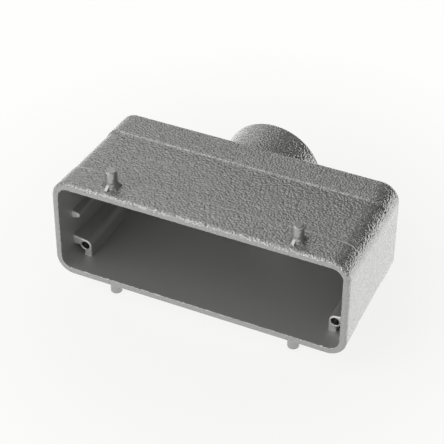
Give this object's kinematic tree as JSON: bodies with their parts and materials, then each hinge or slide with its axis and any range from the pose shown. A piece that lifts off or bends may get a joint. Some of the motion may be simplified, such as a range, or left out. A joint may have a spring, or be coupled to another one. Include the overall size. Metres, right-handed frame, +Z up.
{
  "type": "heavy duty rectangular connector hood",
  "caption": "Grey coated die-cast hood of a heavy duty rectangular connector: an open shell with cast locking pegs, tapped columns for the contact insert and a threaded cable entry.",
  "frame": {"origin": "centre of the mouth, in the plane of the flat mating rim", "axes": "+X along the hood, +Y from the mouth to the cable entry, +Z up as the hood lies on its lower pegs and the end of its cable entry"},
  "size_m": [0.12, 0.071, 0.0572],
  "materials": {
    "powder_coat": "silver-grey textured powder coat on a die-cast aluminium shell",
    "cut_thread": "threads cut in the casting, bare metal"
  },
  "bodies": {
    "root": {"hood": "powder_coat"}
  },
  "joints": []
}
